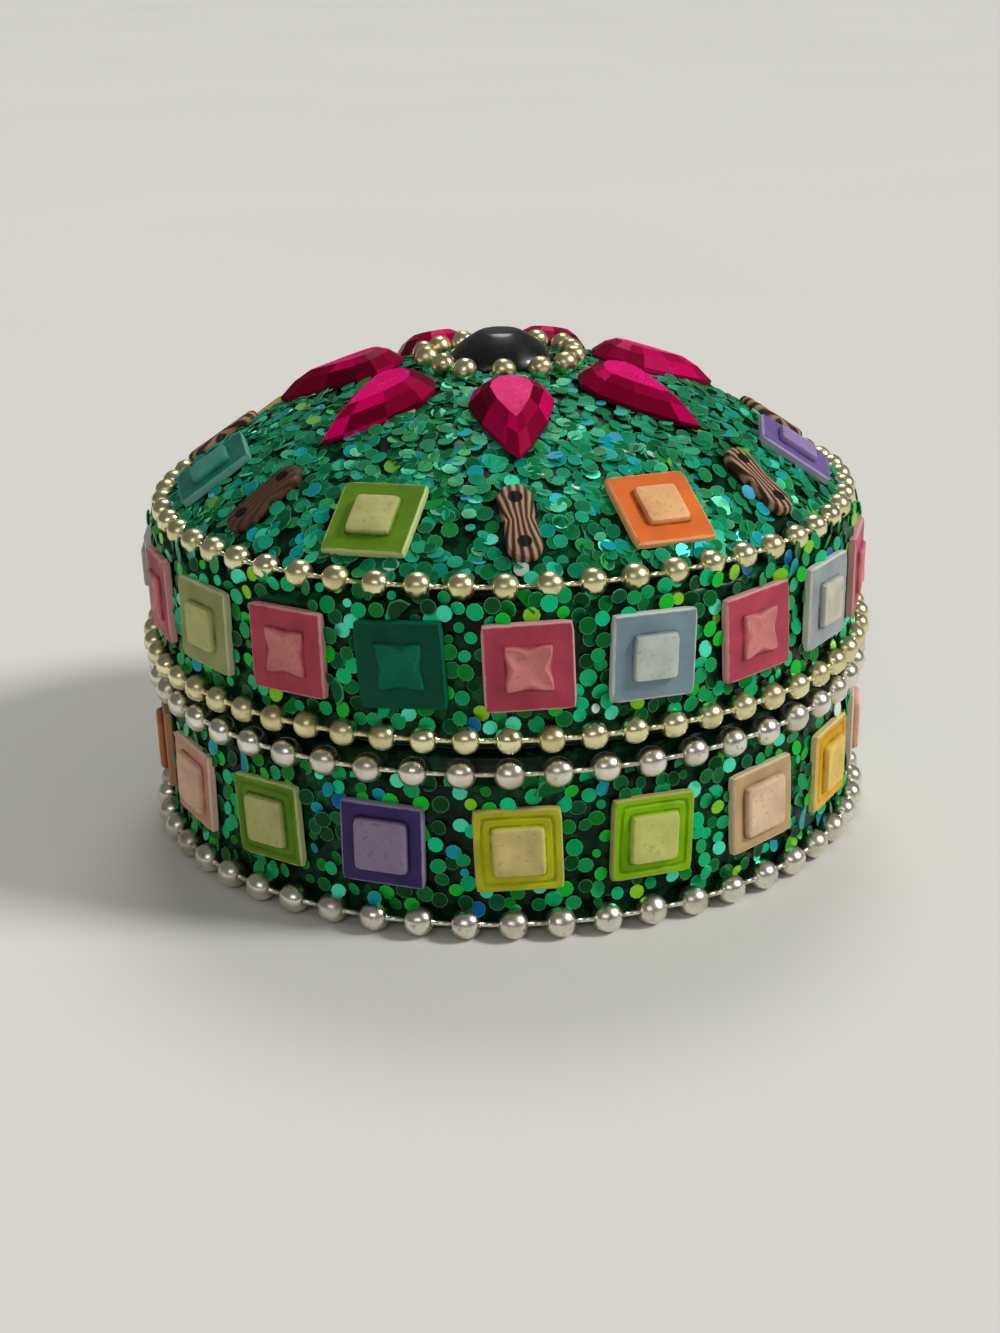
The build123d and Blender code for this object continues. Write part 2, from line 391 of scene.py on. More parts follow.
# In both ramps the palest, near-white tone is a painted glint: a few discs coloured as if they caught
# a lamp.
WALL_FOIL = ((0.0, (0, 104, 44)), (0.16, (0, 158, 88)), (0.32, (0, 66, 24)), (0.44, (0, 184, 116)),
             (0.54, (0, 128, 38)), (0.64, (0, 206, 140)), (0.71, (0, 86, 52)), (0.77, (8, 196, 44)),
             (0.86, (0, 158, 176)), (0.90, (140, 214, 30)), (0.93, (6, 112, 176)),
             (0.95, (80, 236, 196)), (0.99, (222, 236, 226)))
DOME_FOIL = ((0.0, (0, 118, 74)), (0.14, (4, 140, 96)), (0.30, (20, 156, 112)), (0.44, (0, 120, 62)),
             (0.54, (16, 170, 130)), (0.66, (0, 98, 58)), (0.76, (0, 156, 136)), (0.83, (24, 142, 64)),
             (0.89, (0, 170, 184)), (0.93, (110, 176, 60)), (0.945, (60, 166, 210)),
             (0.96, (60, 222, 176)), (0.988, (206, 228, 216)))


def glitter(name, tones, dirt, metallic):
    """Foil discs under the clear lac, each with its own colour and a painted highlight round its rim.
    """
    s = Shader(name)
    island = s.node("ShaderNodeNewGeometry").outputs["Random Per Island"]
    tone = s.ramp(island, [(place, linear(*tone)) for place, tone in tones], "CONSTANT")
    split = s.node("ShaderNodeSeparateXYZ")
    s.link(s.local(), split.inputs["Vector"])
    x, y = split.outputs["X"], split.outputs["Y"]
    out = s.math("SQRT", s.math("ADD", s.math("MULTIPLY", x, x), s.math("MULTIPLY", y, y)))
    # Painted highlight: each disc is paled towards its rim, as if light caught the edge of the foil.
    tone = s.mix(s.math("MULTIPLY", s.range(out, 0.84, 0.94), 0.3), tone, linear(110, 226, 160))
    s.colour(s.mix(s.range(s.noise(260, 3), 0.4, 0.75, 0.0, dirt), tone, linear(30, 84, 56)))
    s.set(Metallic=metallic, Coat_Weight=0.05, Coat_Roughness=0.15, Specular_IOR_Level=0.12)
    s.roughness(s.range(s.noise(900, 2), 0.3, 0.7, 0.24, 0.5))
    return s.material


def tile_material(name, rim, plate, middle):
    """Moulded tile: thin worn edge, tinted plate and a paler raised middle, darker round its foot."""
    s = Shader("tile " + name)
    split = s.node("ShaderNodeSeparateXYZ")
    s.link(s.local(), split.inputs["Vector"])
    x = s.math("ABSOLUTE", split.outputs["X"])
    y = s.math("ABSOLUTE", split.outputs["Y"])
    wobble = s.math("MULTIPLY", s.math("SUBTRACT", s.noise(1500, 3), 0.5), 0.05)
    reach = s.math("ADD", s.math("MAXIMUM", x, y), wobble)
    patch = s.noise(420, 4)
    base = s.mix(s.range(patch, 0.35, 0.7), plate, tuple(0.74 * v for v in plate))
    inner = s.mix(s.range(patch, 0.4, 0.7), middle, tuple(0.78 * v for v in middle))
    inner = s.mix(s.range(s.noise(2600, 2), 0.58, 0.7, 0.0, 0.4), inner,
                  tuple(0.45 * v for v in middle))
    height = s.node("ShaderNodeAttribute", attribute_name="raised").outputs["Fac"]
    tone = s.mix(s.range(height, 0.35, 0.8), base, inner)
    tone = s.mix(s.range(reach, 0.94, 0.975), tone, rim)
    # Darker ring round the foot of the raised middle, broken up by noise.
    near = s.math("MULTIPLY", s.range(height, 0.02, 0.2), s.range(height, 0.2, 0.5, 1.0, 0.0))
    foot_darkening = s.math("MULTIPLY", near, s.range(s.noise(900, 3), 0.42, 0.58, 0.25, 0.8))
    tone = s.mix(foot_darkening, tone, tuple(0.2 * v for v in plate))
    s.colour(tone)
    s.set(Coat_Weight=0.0, Specular_IOR_Level=0.1)
    s.roughness(s.range(patch, 0.3, 0.7, 0.32, 0.55))
    s.bump(s.noise(700, 4), 0.22, 0.00012)
    return s.material


def ruby():
    """Foil-backed acrylic: deep rose, with painted light and shade giving each facet its own depth,
    and painted glints in grains of bright foil.
    """
    s = Shader("foiled ruby")
    swirl = s.noise(260, 4, roughness=0.7)
    facet = s.node("ShaderNodeAttribute", attribute_name="facet").outputs["Fac"]
    # Painted light and shade: the tone runs from dark to bright with each facet's value, the table
    # brightest.
    tone = s.ramp(facet, [(0.0, linear(70, 0, 20)), (0.35, linear(128, 0, 42)),
                          (0.7, linear(184, 0, 78)), (1.0, linear(218, 0, 106))])
    tone = s.mix(s.range(swirl, 0.5, 0.7, 0.0, 0.4), tone, linear(120, 0, 40))
    # Painted glints: bright pink grains, only on the brighter facets, stand for light sparkling off
    # the foil.
    grains = s.node("ShaderNodeTexVoronoi", Scale=3200.0)
    s.link(s.object_coords(), grains.inputs["Vector"])
    painted_glint = s.math("MULTIPLY", s.range(grains.outputs["Distance"], 0.12, 0.3, 1.0, 0.0),
                   s.range(s.noise(380, 2), 0.46, 0.56))
    painted_glint = s.math("MULTIPLY", painted_glint, s.range(facet, 0.5, 1.0))
    s.colour(s.mix(s.math("MULTIPLY", painted_glint, 0.9), tone, linear(255, 50, 160)))
    s.set(Metallic=0.0, Coat_Weight=0.0, Specular_IOR_Level=0.04)
    s.roughness(s.range(swirl, 0.3, 0.7, 0.25, 0.45))
    s.bump(s.noise(1500, 4), 0.25, 0.0001)
    return s.material


def black_stone():
    s = Shader("black stone")
    s.colour(s.mix(s.noise(500, 3), linear(6, 6, 8), linear(20, 20, 22)))
    s.set(Coat_Weight=0.25, Coat_Roughness=0.1, Specular_IOR_Level=0.35)
    s.roughness(s.range(s.noise(800, 3), 0.3, 0.7, 0.2, 0.4))
    s.bump(s.noise(300, 3), 0.15, 0.0001)
    return s.material


def plaque_material(name, dark):
    """Brown plastic with lengthwise stripes and two holes painted in near black as painted shade."""
    s = Shader(name)
    split = s.node("ShaderNodeSeparateXYZ")
    s.link(s.local(), split.inputs["Vector"])
    x, y = split.outputs["X"], split.outputs["Y"]
    bend = s.math("MULTIPLY", s.noise(420, 3), 4.0)
    pinch = s.math("ADD", 0.62, s.math("MULTIPLY", s.math("ABSOLUTE", x), 0.2))
    across = s.math("DIVIDE", y, pinch)
    wave = s.math("SINE", s.math("ADD", s.math("MULTIPLY", across, 13.0), bend))
    light = (linear(146, 112, 84), linear(172, 138, 108))
    if dark:
        light = (linear(74, 46, 30), linear(92, 62, 42))
    tone = s.ramp(s.range(wave, -1.0, 1.0), [(0.2, linear(58, 38, 28)), (0.4, linear(96, 66, 48)),
                                            (0.62, light[0]), (1.0, light[1])])
    # Painted shade: the two holes are only near-black discs in the colour, standing for their shaded
    # recesses.
    side = s.math("SUBTRACT", s.math("ABSOLUTE", x), 1.9)
    hole = s.math("SQRT", s.math("ADD", s.math("MULTIPLY", side, side), s.math("MULTIPLY", y, y)))
    s.colour(s.mix(s.range(hole, 0.46, 0.54), linear(10, 8, 8), tone))
    s.set(Coat_Weight=0.0, Specular_IOR_Level=0.2)
    s.roughness(s.range(s.noise(900, 3), 0.3, 0.7, 0.35, 0.6))
    s.bump(wave, 0.3, 0.00006)
    return s.material


TILE_TONES = {
    "rose": ((206, 150, 146), (178, 68, 86), (206, 126, 124)),
    "teal": ((0, 92, 68), (0, 78, 56), (0, 108, 78)),
    "blue": ((196, 200, 194), (124, 146, 156), (188, 196, 186)),
    "grey": ((200, 198, 186), (150, 158, 160), (196, 192, 172)),
    "pale": ((190, 190, 148), (150, 156, 92), (186, 186, 118)),
    "olive": ((184, 166, 100), (194, 196, 34), (214, 196, 128)),
    "green": ((168, 158, 92), (130, 184, 4), (192, 196, 110)),
    "tan": ((206, 186, 152), (192, 160, 116), (220, 190, 154)),
    "amber": ((222, 196, 130), (218, 166, 38), (230, 196, 104)),
    "rust": ((190, 140, 104), (156, 82, 40), (196, 132, 86)),
    "peach": ((226, 194, 176), (216, 160, 134), (230, 190, 166)),
    "lime": ((188, 196, 130), (98, 138, 30), (188, 188, 120)),
    "purple": ((150, 140, 170), (66, 50, 104), (144, 128, 156)),
    "orange": ((232, 172, 120), (224, 112, 48), (232, 178, 122)),
    "lilac": ((170, 156, 188), (112, 92, 150), (148, 128, 176)),
    "aqua": ((90, 150, 136), (30, 116, 98), (70, 146, 128)),
}


DOME_TONES = {"purple": "lilac"}


# Pieces

def finish_piece(obj, material, body, nodes):
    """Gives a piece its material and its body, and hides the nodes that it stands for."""
    obj.data.materials.append(material)
    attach(obj, body)
    if nodes:
        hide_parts(*nodes)


def base_metal(material):
    r, inner = CUP_RADIUS, CUP_RADIUS - SHEET
    cup = [(0.5, 0.0), (r - 0.6, 0.0)] + arc((r - 0.6, 0.6), 0.6, -90, 0, 5)[1:]
    cup += arc((r - SHEET / 2, CUP_HEIGHT - SHEET / 2), SHEET / 2, 0, 180, 6)
    cup += [(inner, 0.9), (inner - 0.4, SHEET), (0.5, SHEET)]
    finish_piece(lathe("base_cup_metal", cup, ring=False), material, "base", ["base_cup"])
    inside = NECK_RADIUS - NECK_SHEET
    neck = [(inside, SHEET), (NECK_RADIUS, SHEET), (NECK_RADIUS, NECK_HEIGHT - 0.3)]
    neck += arc((NECK_RADIUS - NECK_SHEET / 2, NECK_HEIGHT - 0.3), NECK_SHEET / 2, 0, 180, 6)[1:]
    finish_piece(lathe("collar", neck), material, "base", ["neck_ring"])


def lid_metal(material):
    outer = SHELL_RADIUS
    inner = outer - SHEET
    profile = arc((outer - SHEET / 2, SHELL_BOTTOM + SHEET / 2), SHEET / 2, 180, 360, 6)
    profile += dome_arc(outer, 0.5, DOME_COAT)
    profile += dome_arc(0.5, inner, DOME_COAT + SHEET)
    finish_piece(lathe("lid_metal", profile), material, "lid", ["lid_shell"])


def dome_arc(start, end, inset=0.0, steps=28):
    """Points (r, z) along the dome, or a shell concentric with it."""
    ball = DOME_BALL - inset
    a, b = asin(start / ball), asin(end / ball)
    angles = [a + (b - a) * i / steps for i in range(steps + 1)]
    return [(ball * sin(t), DOME_CENTRE + ball * cos(t)) for t in angles]


def base_coat(material):
    inner = CUP_RADIUS + FIT
    foot = FOOT["ring"] - SILVER_BEAD - FIT
    rim = BASE_RIM["ring"] - SILVER_BEAD - FIT
    high = FOOT["height"] + 0.9
    low = BASE_RIM["height"] - 0.9
    profile = [(inner, COAT_FOOT), (foot - 0.2, COAT_FOOT), (foot, COAT_FOOT + 0.2), (foot, high)]
    profile += arc((COAT_RADIUS - 0.3, high + 0.4), 0.3, -60, 0, 3)
    profile += arc((COAT_RADIUS - 0.4, low - 0.4), 0.4, 0, 60, 3)
    profile += [(rim, low + 0.3), (rim, COAT_TOP - 0.3), (rim - 0.3, COAT_TOP), (inner, COAT_TOP)]
    finish_piece(lathe("base_coat", profile), material, "base", ["base_lac_coat"])


def lid_coat(material):
    inner = SHELL_RADIUS + FIT
    rim = LID_RIM["ring"] - GOLD_BEAD - FIT
    ledge = SHOULDER["ring"] - GOLD_BEAD - FIT
    step = SHOULDER["height"] - GOLD_BEAD
    seat = CROWN_RADIUS + 0.2
    profile = [(inner, LID_COAT_BOTTOM), (rim - 0.2, LID_COAT_BOTTOM), (rim, LID_COAT_BOTTOM + 0.2)]
    profile += [(rim, LID_RIM["height"] + 0.9)]
    profile += arc((COAT_RADIUS - 0.4, LID_RIM["height"] + 1.3), 0.4, -60, 0, 3)
    profile += arc((COAT_RADIUS - 0.9, step - 0.9), 0.9, 0, 80, 6)
    profile += [(ledge + 0.05, step), (ledge, step + 0.3), (ledge, dome_height(ledge) - 0.3)]
    profile += dome_arc(ledge - 0.2, seat)
    profile += [(0.5, dome_height(seat)), (0.5, DOME_TOP - DOME_COAT + FIT)]
    profile += dome_arc(1.0, inner, DOME_COAT - FIT)
    finish_piece(lathe("lid_coat", profile), material, "lid", ["lid_lac_coat"])


def ball_loops(radius, segments=24, rows=10, seam=0.035):
    """Loops of a slightly barrelled ball threaded along X, with a pressed seam on both sides."""
    loops = []
    for i in range(rows + 1):
        t = radians(17 + (180 - 34) * i / rows)
        loop = []
        for j in range(segments):
            a = 2 * pi * j / segments
            r = radius * (1 - seam) if j % (segments // 2) == 0 else radius
            reach = r * sin(t) ** 0.8
            loop.append((-radius * cos(t), reach * cos(a), reach * sin(a)))
        loops.append(loop)
    return loops


def ball_chain(name, sizes, material, body, seed):
    """Balls with a seam, joined by thin round links, each a little off true."""
    rng = random.Random(seed)
    pile = Pile()
    bead = skin(ball_loops(sizes["bead"] * SWELL))
    ring = sizes["ring"] - sizes["bead"] * (SWELL - 1)
    step = 360 / sizes["beads"]
    chord = 2 * sizes["ring"] * sin(radians(step / 2))
    half = chord / 2 - 0.8 * sizes["bead"]
    steps = ((-half, 0.34), (-half + 0.18, 0.32), (-half + 0.24, 0.2), (half - 0.24, 0.2),
             (half - 0.18, 0.32), (half, 0.34))
    link = skin([[(x, r * cos(2 * pi * j / 8), r * sin(2 * pi * j / 8)) for j in range(8)]
                 for x, r in steps])
    mid = sizes["ring"] * cos(radians(step / 2))
    for i in range(sizes["beads"]):
        size = rng.uniform(0.96, 1.0)
        roll = 0.0 if rng.random() < 0.7 else rng.uniform(-0.8, 0.8)
        tilt = Matrix.Rotation(rng.uniform(-0.12, 0.12), 4, "Z") @ Matrix.Scale(size, 4)
        tilt = tilt @ Matrix.Rotation(pi / 2 + roll + rng.uniform(-0.1, 0.1), 4, "X")
        place = wall_place(i * step, ring, sizes["height"] + rng.uniform(-0.04, 0.04))
        pile.add(*bead, place @ tilt)
        pile.add(*link, wall_place((i + 0.5) * step, mid, sizes["height"]))
    finish_piece(pile.build(name), material, body, [sizes["node"]])


def square_loop(half, sharpness, height, pinch=0.0, points=48):
    """A loop round a square with small round corners, its sides drawn in by the pinch."""
    loop = []
    for i in range(points):
        a = 2 * pi * i / points
        c, n = cos(a), sin(a)
        r = (abs(c) ** sharpness + abs(n) ** sharpness) ** (-1 / sharpness)
        r *= half * (1 - pinch * cos(2 * a) ** 2)
        loop.append((r * c, r * n, height))
    return loop


def tile_steps(kind):
    """(half width, sharpness, height, pinch, raised) from the back edge to the middle."""
    half = TILE / 2
    top = TILE_PLATE + TILE_RAISE
    steps = [(half - 0.08, 24, 0.0, 0, 0), (half, 24, 0.08, 0, 0), (half, 24, 0.48, 0, 0),
             (half - 0.1, 24, TILE_PLATE, 0, 0)]
    if kind == "star":
        steps += [(0.56 * half, 24, TILE_PLATE, 0.0, 0.0), (0.54 * half, 24, 0.64, 0.02, 0.15),
                  (0.52 * half, 30, 0.84, 0.22, 0.7), (0.49 * half, 30, 0.92, 0.32, 1),
                  (0.3 * half, 8, 0.82, 0.26, 1), (0.1 * half, 4, 0.76, 0.1, 1)]
    elif kind == "ridged":
        steps += [(0.86 * half, 16, TILE_PLATE, 0, 0), (0.82 * half, 16, 0.5, 0, 0.1),
                  (0.79 * half, 16, 0.5, 0, 0.1), (0.75 * half, 16, TILE_PLATE, 0, 0),
                  (0.66 * half, 16, TILE_PLATE, 0, 0), (0.62 * half, 14, 0.62, 0, 0.2),
                  (0.56 * half, 12, top - 0.05, 0, 0.9), (0.5 * half, 10, top, 0, 1),
                  (0.3 * half, 6, top - 0.14, 0, 1), (0.1 * half, 3, top - 0.18, 0, 1)]
    elif kind == "wide":
        steps += [(0.7 * half, 16, TILE_PLATE, 0, 0), (0.66 * half, 14, 0.56, 0, 0.15),
                  (0.62 * half, 14, top - 0.1, 0, 0.9), (0.56 * half, 12, top, 0, 1),
                  (0.3 * half, 6, top - 0.12, 0, 1), (0.1 * half, 3, top - 0.14, 0, 1)]
    else:
        steps += [(0.58 * half, 16, TILE_PLATE, 0, 0), (0.54 * half, 14, 0.62, 0, 0.2),
                  (0.5 * half, 14, top - 0.06, 0, 0.9), (0.45 * half, 12, top, 0, 1),
                  (0.2 * half, 6, top + 0.02, 0, 1), (0.08 * half, 3, top + 0.02, 0, 1)]
    return steps


def tile_shape(kind):
    """Vertices, faces and how far each vertex belongs to the raised middle."""
    steps = tile_steps(kind)
    loops = [square_loop(half, sharp, height, pinch) for half, sharp, height, pinch, _ in steps]
    verts, faces = skin(loops)
    raised = [step[4] for step in steps for _ in loops[0]]
    return verts, faces, raised


def wall_tiles(prefix, colours, start, height, body, kinds):
    piles = {}
    for i, colour in enumerate(colours):
        place = wall_place(start + i * 360 / len(colours), COAT_RADIUS + FIT, height,
                           HAND_TURNS[i % len(HAND_TURNS)])
        verts, faces, raised = tile_shape(kinds.get(colour, "flat"))
        piles.setdefault(colour, Pile()).add(verts, faces, place, raised)
    for colour, pile in piles.items():
        obj = pile.build(prefix + colour, uv_scale=2 / TILE)
        soften(obj, 32)
        tones = [linear(*tone) for tone in TILE_TONES[colour]]
        finish_piece(obj, tile_material(prefix + colour, *tones), body, [prefix + colour])


def tile_spot(i):
    return dome_place(DOME_TILE_START + 360 * i / PETALS, DOME_TILE_RING, turn=2 * HAND_TURNS[i])


def plaque_spot(i):
    return dome_place(DOME_TILE_START + 360 * (i + 0.5) / PETALS, DOME_TILE_RING,
                      turn=4 * HAND_TURNS[i])


def stone_spot(i):
    return dome_place(STONE_START + 360 * i / PETALS, STONE_RING)


def dome_tile(i):
    number = str(i + 1)
    colour = DOME_COLOURS[i]
    pile = Pile()
    verts, faces, raised = tile_shape("flat")
    pile.add(verts, faces, tile_spot(i), raised)
    obj = pile.build("dome_tile_" + number, uv_scale=2 / TILE)
    soften(obj, 32)
    tones = [linear(*tone) for tone in TILE_TONES[DOME_TONES.get(colour, colour)]]
    finish_piece(obj, tile_material("dome " + number, *tones), "lid", ["dome_tile_" + number])


def plaque(i, finish):
    number = str(i + 1)
    pile = Pile()
    pile.add(*skin(plaque_loops()), plaque_spot(i))
    obj = pile.build("plaque_" + number)
    soften(obj, 40)
    finish_piece(obj, finish, "lid", ["dome_plaque_" + number])


def teardrop(i, finish):
    number = str(i + 1)
    pile = Pile()
    pile.add(*teardrop_shape(), stone_spot(i))
    obj = pile.build("teardrop_" + number, smooth=False)
    paint_facet_shading(obj, i)
    finish_piece(obj, finish, "lid", ["teardrop_stone_" + number])


def dome_trim(ruby_finish, light_plaque, dark_plaque):
    for i in range(PETALS):
        dome_tile(i)
        plaque(i, dark_plaque if i in DARK_PLAQUES else light_plaque)
        teardrop(i, ruby_finish)


def plaque_loops(points=48):
    """A peanut outline, domed towards its middle."""
    def outline(inset, height):
        loop = []
        for i in range(points):
            a = 2 * pi * i / points
            x = (PLAQUE_LENGTH / 2 - inset) * cos(a)
            waist = 0.72 + 0.28 * min(1.0, (abs(x) / (0.32 * PLAQUE_LENGTH)) ** 2)
            width = (PLAQUE_WIDTH / 2 - inset) * waist
            loop.append((x, width * (abs(sin(a)) ** 0.72) * (1 if sin(a) >= 0 else -1), height))
        return loop
    return [outline(*step) for step in ((0.1, 0.0), (0.0, 0.15), (0.0, 0.45), (0.15, 0.7),
                                        (0.45, PLAQUE_THICK), (1.0, PLAQUE_THICK))]


def teardrop_outline(inset, height, points=12):
    """A teardrop loop, point along +X, shrunk by the inset."""
    round_radius = STONE_WIDTH / 2
    tip = STONE_LENGTH - round_radius
    middle = (tip - round_radius) / 2
    loop = []
    for i in range(points):
        a = 2 * pi * i / points
        pull = max(0.0, cos(a))
        x = cos(a) * (round_radius - inset)
        if pull:
            x = pull ** 1.35 * (tip - 2.0 * inset)
        y = sin(a) * (round_radius - inset) * (1 - pull ** 1.6) ** 0.35
        loop.append((x - middle, y, height))
    return loop


def teardrop_shape():
    """Girdle, two tiers of facets and a flat table."""
    top = STONE_HEIGHT
    loops = [teardrop_outline(0.1, 0.0), teardrop_outline(0.0, 0.15), teardrop_outline(0.0, 0.45),
             teardrop_outline(0.75, 0.74 * top), teardrop_outline(1.5, top)]
    return skin(loops)


def paint_facet_shading(obj, seed):
    """Paints light and shade on the facets: every face gets its own depth of colour, and the table is
    painted brightest.
    """
    rng = random.Random(seed)
    values = [1.0 if len(p.vertices) > 4 else rng.choice((0.1, 0.3, 0.45, 0.75))
              for p in obj.data.polygons]
    facet = obj.data.attributes.new("facet", "FLOAT", "FACE")
    facet.data.foreach_set("value", values)


def crown(stone_finish, bead_finish):
    height = CROWN_TOP - CROWN_BASE
    steps = ((0.0, 0.97), (0.06, 1.0), (0.16, 0.99), (0.34, 0.92), (0.55, 0.79), (0.75, 0.63),
             (0.9, 0.48), (0.97, 0.4), (1.0, 0.35), (1.0, 0.1))
    loops = [circle(r * CROWN_RADIUS, CROWN_BASE + z * height, 48) for z, r in steps]
    stone = make_object("crown_stone_black", *skin(loops))
    soften(stone, 40)
    finish_piece(stone, stone_finish, "lid", ["crown_stone"])
    rng = random.Random(5)
    pile = Pile()
    bead = skin(ball_loops(GOLD_BEAD))
    for i in range(CROWN_BEADS):
        ring = CROWN_RING + rng.uniform(-0.25, 0.3)
        place = wall_place(360 * i / CROWN_BEADS + rng.uniform(-5, 5), ring,
                           dome_height(ring) + 0.82)
        pile.add(*bead, place @ Matrix.Rotation(rng.uniform(0, 3), 4, "X")
                 @ Matrix.Rotation(rng.uniform(0, 3), 4, "Y") @ Matrix.Scale(0.96, 4))
    finish_piece(pile.build("crown_balls"), bead_finish, "lid", ["crown_ball_ring"])


# Glitter

FOIL_THICK = 0.07
FOIL_LEAN = 0.16
SPACING = 0.82
FOIL_OVERHANG = 0.5


def disc(radius, sides=10):
    return skin([circle(radius, 0.0, sides), circle(radius, FOIL_THICK, sides)])


def shard(rng):
    """A cut scrap of foil: part of a larger disc."""
    turns = rng.choice((3, 4, 6))
    reach = rng.uniform(0.7, 1.15)
    corners = [(reach * cos(pi * i / turns), reach * sin(pi * i / turns)) for i in range(turns + 1)]
    return skin([[(x, y, z) for x, y in corners] for z in (0.0, FOIL_THICK)])


def scatter_disc(pile, place, rng, tilt):
    """Adds one disc, or now and then a cut scrap, leaning a little at random."""
    size = rng.uniform(0.48, 0.62) if rng.random() < 0.8 else rng.uniform(0.3, 0.46)
    lean = Matrix.Rotation(rng.gauss(0, tilt), 4, "X") @ Matrix.Rotation(rng.gauss(0, tilt), 4, "Y")
    if rng.random() < 0.02:
        pile.add(*shard(rng), place @ lean @ Matrix.Rotation(rng.uniform(0, 6), 4, "Z"))
        return
    pile.add(*disc(size), place @ lean, unit=size)


def free_of(spots, angle, height, reach):
    """True when a place on the unrolled wall is clear of every tile centre."""
    for spot_angle, spot_height in spots:
        away = abs((angle - spot_angle + 180) % 360 - 180) * pi / 180 * COAT_RADIUS
        if away < reach and abs(height - spot_height) < reach:
            return False
    return True


def wall_glitter(name, body, low, high, tiles, start, tile_height, count, seed, material):
    rng = random.Random(seed)
    spots = [(start + i * 360 / tiles, tile_height) for i in range(tiles)]
    pile = Pile()
    placed = []
    while count:
        angle = rng.uniform(0, 360)
        height = rng.uniform(low, high)
        point = (COAT_RADIUS * radians(angle), height)
        crowded = any(dist(point, other) < SPACING for other in placed)
        if free_of(spots, angle, height, TILE / 2 + rng.uniform(-0.2, 0.35)) and not crowded:
            placed.append(point)
            radius = COAT_RADIUS + rng.uniform(-0.02, 0.4) - max(0.0, height - high + 0.7) * 0.7
            scatter_disc(pile, wall_place(angle, radius, height), rng, FOIL_LEAN)
            count -= 1
    finish_piece(pile.build(name, smooth=False), material, body, [])


def dome_glitter(name, count, seed, material):
    rng = random.Random(seed)
    pile = Pile()
    outer = DOME_EDGE + FOIL_OVERHANG
    tops = [tile_spot(i).inverted() for i in range(PETALS)]
    drops = [stone_spot(i).inverted() for i in range(PETALS)]
    bars = [plaque_spot(i).inverted() for i in range(PETALS)]
    while count:
        radius = outer * sqrt(rng.uniform(0.03, 1.0))
        angle = rng.uniform(0, 360)
        lift = rng.uniform(-0.04, 0.3)
        place = dome_place(angle, radius, lift)
        centre = place.to_translation()
        margin = rng.uniform(-0.6, 0.15)
        if radius < CROWN_RADIUS + 0.3:
            continue
        if any(covers_square(m @ centre, TILE / 2 + margin, TILE / 2 + margin) for m in tops):
            continue
        if any(covers_square(m @ centre, PLAQUE_LENGTH / 2 + margin, PLAQUE_WIDTH / 2 + margin)
               for m in bars):
            continue
        if any(covers_drop(m @ centre, margin) for m in drops):
            continue
        scatter_disc(pile, place, rng, 0.17)
        count -= 1
    finish_piece(pile.build(name, smooth=False), material, "lid", [])


def covers_square(point, half_x, half_y):
    """True when a point in a tile's or plaque's own frame lies over it."""
    return abs(point.x) < half_x and abs(point.y) < half_y and abs(point.z) < 3


def covers_drop(point, margin):
    """True when a point in a teardrop's own frame lies over its tapering outline."""
    along = point.x / (STONE_LENGTH / 2 + margin)
    if abs(along) >= 1 or abs(point.z) > 3:
        return False
    width = STONE_WIDTH / 2 * (1 - max(0.0, along + 0.35) / 1.35) ** 0.8
    return abs(point.y) < width + margin


# Stage

FLOOR_REACH = 6000


def floor():
    s = Shader("paper floor")
    tone = s.mix(s.noise(6, 2), linear(222, 220, 214), linear(214, 212, 206))
    s.colour(tone)
    s.set(Roughness=0.75, Specular_IOR_Level=0.2)
    s.bump(s.noise(700, 3), 0.04, 0.0002)
    r = FLOOR_REACH
    obj = make_object("floor", [(-r, -r, 0), (r, -r, 0), (r, r, 0), (-r, r, 0)], [(0, 1, 2, 3)],
                      smooth=False)
    obj.data.materials.append(s.material)
    return obj


def aim(obj, place):
    """Puts a lamp at a place and points it at the box."""
    bpy.context.collection.objects.link(obj)
    obj.location = place
    away = Vector((0, 0, 0.015)) - Vector(place)
    obj.rotation_euler = away.to_track_quat("-Z", "Y").to_euler()


def distant_lamp(name, width, strength, place):
    """A soft lamp so far away that the whole floor gets the same light; width in degrees."""
    data = bpy.data.lights.new(name, "SUN")
    data.angle = radians(width)
    data.energy = strength
    aim(bpy.data.objects.new(name, data), place)


def panel_lamp(name, size, energy, place):
    data = bpy.data.lights.new(name, "AREA")
    data.shape = "RECTANGLE"
    data.size, data.size_y = size
    data.energy = energy
    aim(bpy.data.objects.new(name, data), place)


def world(light, shine, seen):
    """Room light: its strength on surfaces, in reflections and behind the floor."""
    scene_world = bpy.data.worlds.new("studio")
    bpy.context.scene.world = scene_world
    scene_world.use_nodes = True
    nodes, links = scene_world.node_tree.nodes, scene_world.node_tree.links
    background = nodes["Background"]
    path = nodes.new("ShaderNodeLightPath")
    source = None
    for ray, strength in (("Is Glossy Ray", shine), ("Is Camera Ray", seen)):
        mix = nodes.new("ShaderNodeMix")
        mix.data_type = "FLOAT"
        mix.inputs[2].default_value = light
        mix.inputs[3].default_value = strength
        links.new(path.outputs[ray], mix.inputs[0])
        if source:
            links.new(source, mix.inputs[2])
        source = mix.outputs[0]
    links.new(source, background.inputs["Strength"])
    background.inputs["Color"].default_value = linear(252, 251, 246) + (1.0,)


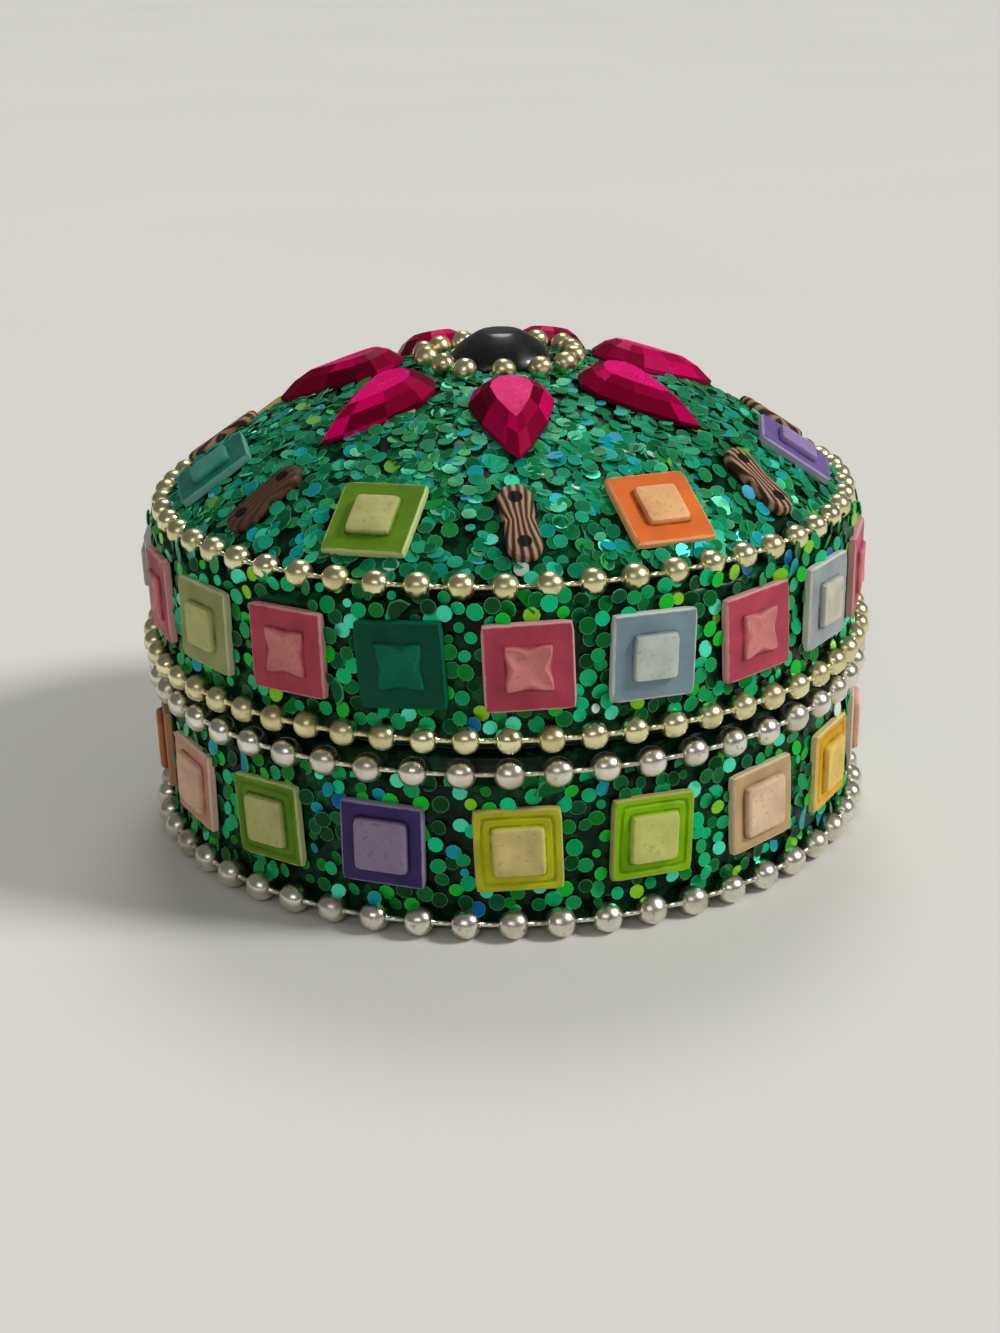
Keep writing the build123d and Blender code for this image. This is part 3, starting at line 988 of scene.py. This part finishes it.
def camera():
    data = bpy.data.cameras.new("camera")
    data.sensor_width = 36
    data.lens = 36 * FOCAL_PX / PHOTO_HEIGHT
    data.clip_start = 0.01
    data.shift_x = -CAMERA_SHIFT_PX[0] / PHOTO_HEIGHT
    data.shift_y = -CAMERA_SHIFT_PX[1] / PHOTO_HEIGHT
    obj = bpy.data.objects.new("camera", data)
    bpy.context.collection.objects.link(obj)
    bpy.context.scene.camera = obj
    e, roll = radians(CAMERA_ELEVATION), radians(CAMERA_ROLL)
    back = Vector((0, -cos(e), sin(e)))
    right, up = Vector((1, 0, 0)), Vector((0, sin(e), cos(e)))
    turned_right = cos(roll) * right - sin(roll) * up
    turned_up = sin(roll) * right + cos(roll) * up
    axes = Matrix((turned_right, turned_up, back)).transposed().to_4x4()
    place = back * CAMERA_DISTANCE + Vector((0, 0, AIM_HEIGHT))
    obj.matrix_world = Matrix.Translation(place * MM) @ axes


metal = metal_sheet()
gold = plated("gilt", linear(244, 236, 188), linear(214, 202, 146), linear(110, 92, 50))
silver = plated("nickel", linear(240, 236, 222), linear(206, 198, 178), linear(100, 88, 70))
lac_finish = lac()
wall_foil = glitter("wall glitter", WALL_FOIL, 0.1, 0.45)
dome_foil = glitter("dome glitter", DOME_FOIL, 0.35, 0.3)
base_metal(metal)
lid_metal(metal)
base_coat(lac_finish)
lid_coat(lac_finish)
ball_chain("foot_chain_balls", FOOT, silver, "base", 1)
ball_chain("base_rim_chain_balls", BASE_RIM, silver, "base", 2)
ball_chain("lid_rim_chain_balls", LID_RIM, gold, "lid", 3)
ball_chain("shoulder_chain_balls", SHOULDER, gold, "lid", 4)
wall_tiles("base_tiles_", BASE_COLOURS, BASE_TILE_START, BASE_TILE_HEIGHT, "base",
           {"purple": "wide", "tan": "wide", "peach": "wide", "rust": "wide",
            "amber": "ridged", "olive": "ridged", "green": "ridged", "lime": "ridged"})
wall_tiles("lid_tiles_", LID_COLOURS, LID_TILE_START, LID_TILE_HEIGHT, "lid",
           {"rose": "star", "teal": "star"})
dome_trim(ruby(), plaque_material("striped plaque", False), plaque_material("dark plaque", True))
crown(black_stone(), gold)
wall_glitter("base_glitter", "base", FOOT["height"] + 0.9, BASE_RIM["height"] - 0.7, len(BASE_COLOURS),
             BASE_TILE_START, BASE_TILE_HEIGHT, 700, 11, wall_foil)
wall_glitter("lid_glitter", "lid", LID_RIM["height"] + 0.8, SHOULDER["height"] - 0.4, len(LID_COLOURS),
             LID_TILE_START, LID_TILE_HEIGHT, 700, 12, wall_foil)
dome_glitter("dome_glitter", 3400, 13, dome_foil)

paper = floor()
distant_lamp("key", 14, 2.25, (1.5, -0.25, 1.25))
distant_lamp("top", 22, 0.8, (0.1, 1.5, 2.1))
panel_lamp("fill", (1.4, 0.8), 6, (-0.4, -2.0, 1.3))
world(0.27, 0.14, 0.68)
camera()
bpy.context.scene.view_settings.view_transform = "Standard"
